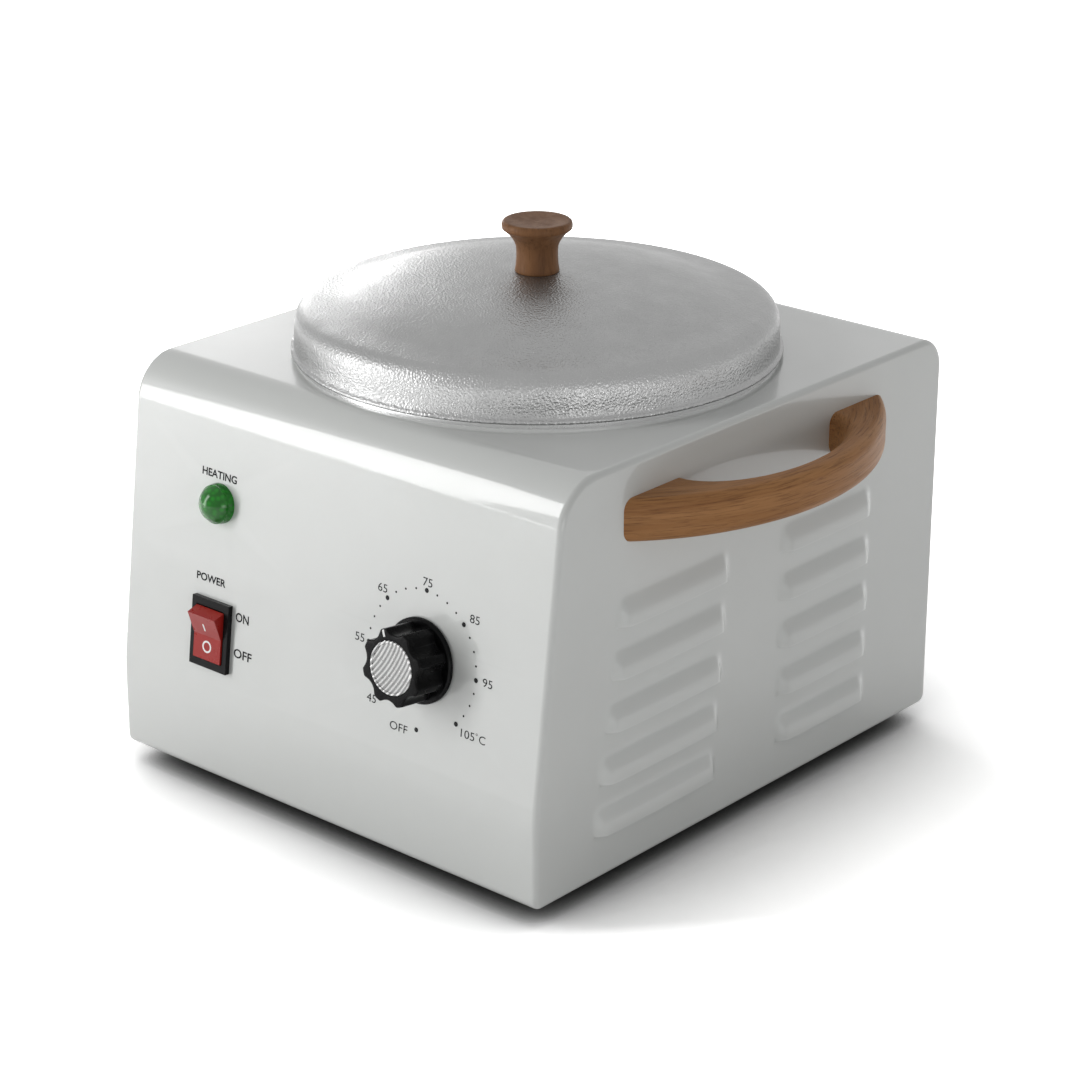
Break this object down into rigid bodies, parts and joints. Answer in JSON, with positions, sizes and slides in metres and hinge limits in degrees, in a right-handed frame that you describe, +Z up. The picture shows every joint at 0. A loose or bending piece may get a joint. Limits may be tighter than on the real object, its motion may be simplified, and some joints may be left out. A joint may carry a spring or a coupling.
{
  "type": "wax warmer",
  "caption": "Sheet-steel wax warmer with a lift-out pot under a domed lid, side handles in wood, a thermostat dial, a rocker switch and an indicator lamp.",
  "frame": {"origin": "on the standing surface, at the middle of the outline seen from above", "axes": "+X to the right seen from the front, front towards -Y, +Z up"},
  "size_m": [0.2138, 0.1952, 0.1649],
  "materials": {
    "coated_steel": "pale grey gloss powder coat",
    "plain_steel": "bare galvanised sheet",
    "plated_steel": "zinc plated",
    "foot_rubber": "matt moulded rubber",
    "spun_aluminium": "spun, satin",
    "lid_aluminium": "fine hammered texture",
    "band_steel": "heat-tinted strip",
    "ceramic": "glazed ceramic",
    "insulation": "felted mineral fibre",
    "turned_wood": "oiled, mid brown",
    "black_plastic": "fine satin moulding",
    "disc_aluminium": "machined in arcs",
    "brass": "bare",
    "white_plastic": "heat-resistant moulding",
    "copper": "bare copper",
    "red_plastic": "moulded red",
    "green_lens": "translucent green",
    "wire_sleeve": "sleeved wire"
  },
  "bodies": {
    "housing": {"housing_wrap": "coated_steel", "right_panel": "coated_steel", "left_panel": "coated_steel", "base_plate": "plain_steel", "base_screws": "plated_steel", "feet": "foot_rubber", "foot_screws": "plated_steel", "heating_well": "spun_aluminium", "well_screw_set": "plated_steel", "heater_band": "band_steel", "heater_terminals": "ceramic", "insulation_sleeve": "insulation", "insulation_pad": "insulation", "right_handle": "turned_wood", "left_handle": "turned_wood", "handle_screws": "plated_steel", "thermostat_bush": "brass", "bush_nut": "brass", "thermostat_case": "white_plastic", "thermostat_tags": "brass", "sensing_bulb": "copper", "bulb_clip": "plated_steel", "switch_body": "black_plastic", "switch_tags": "brass", "indicator_lens": "green_lens", "indicator_barrel": "white_plastic", "indicator_nut": "plated_steel", "mains_inlet": "black_plastic", "inlet_pins": "brass", "earth_stud": "brass", "thermal_cutout": "plated_steel", "terminal_block": "white_plastic", "wiring": "wire_sleeve"},
    "pot": {"pot": "spun_aluminium"},
    "lid": {"lid": "lid_aluminium", "lid_knob": "turned_wood", "lid_knob_screw": "plated_steel"},
    "dial": {"dial_knob": "black_plastic", "dial_disc": "disc_aluminium", "thermostat_shaft": "plated_steel"},
    "rocker": {"switch_rocker": "red_plastic"}
  },
  "joints": [
    {"name": "pot_lift", "type": "slide", "parent": "housing", "child": "pot", "axis": [0, 0, 1], "range_m": [0, 0.1]},
    {"name": "lid_lift", "type": "slide", "parent": "pot", "child": "lid", "axis": [0, 0, 1], "range_m": [0, 0.06]},
    {"name": "dial_turn", "type": "hinge", "parent": "housing", "child": "dial", "pos_m": [0.0372, -0.08414, 0.06653], "axis": [0, -0.9921, 0.1253], "range_deg": [-156, 159]},
    {"name": "rocker_tilt", "type": "hinge", "parent": "housing", "child": "rocker", "pos_m": [-0.0447, -0.08612, 0.05166], "axis": [-1, 0, 0], "range_deg": [0, 25]}
  ]
}
